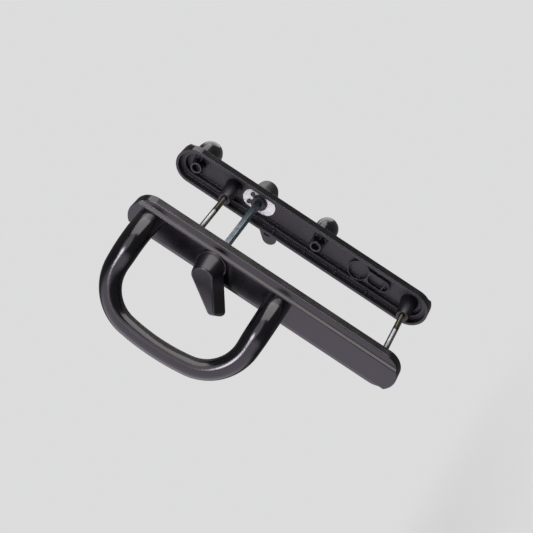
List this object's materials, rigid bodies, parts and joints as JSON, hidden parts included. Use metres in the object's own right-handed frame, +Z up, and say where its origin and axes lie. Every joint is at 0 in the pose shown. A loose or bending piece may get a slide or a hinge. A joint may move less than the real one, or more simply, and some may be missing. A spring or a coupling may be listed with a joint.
{
  "type": "sliding patio door handle",
  "caption": "Black sliding patio door handle set: stepped hollow backplates either side of the door, cranked D pulls, and turn levers joined by a square spindle.",
  "frame": {"origin": "on the spindle axis, in the plane of the outside plate's rim, which is the outdoor surface of the door", "axes": "+Z up the plates, +Y through the door from outdoors to indoors, +X across the plates, away from the levers and pulls"},
  "size_m": [0.0614, 0.1928, 0.2],
  "materials": {
    "black_casting": "black powder coat on zinc die casting, satin gloss",
    "zinc_steel": "bright zinc plate",
    "spindle_steel": "plain drawn steel, grey",
    "ring_steel": "dark phosphated spring steel",
    "white_nylon": "natural white moulded nylon"
  },
  "bodies": {
    "frame": {"outside_backplate": "black_casting", "outside_pull": "black_casting", "outside_pull_screws": "zinc_steel", "outside_turn_bush": "white_nylon", "outside_retaining_ring": "ring_steel", "inside_backplate": "black_casting", "inside_pull": "black_casting", "inside_pull_screws": "zinc_steel", "inside_turn_bush": "white_nylon", "inside_retaining_ring": "ring_steel", "fixing_bolts": "zinc_steel"},
    "turn": {"outside_turn_lever": "black_casting", "inside_turn_lever": "black_casting", "spindle": "spindle_steel"}
  },
  "joints": [
    {"name": "turn", "type": "hinge", "parent": "frame", "child": "turn", "pos_m": [0, 0, 0], "axis": [0, 1, 0], "range_deg": [-10, 80]}
  ]
}
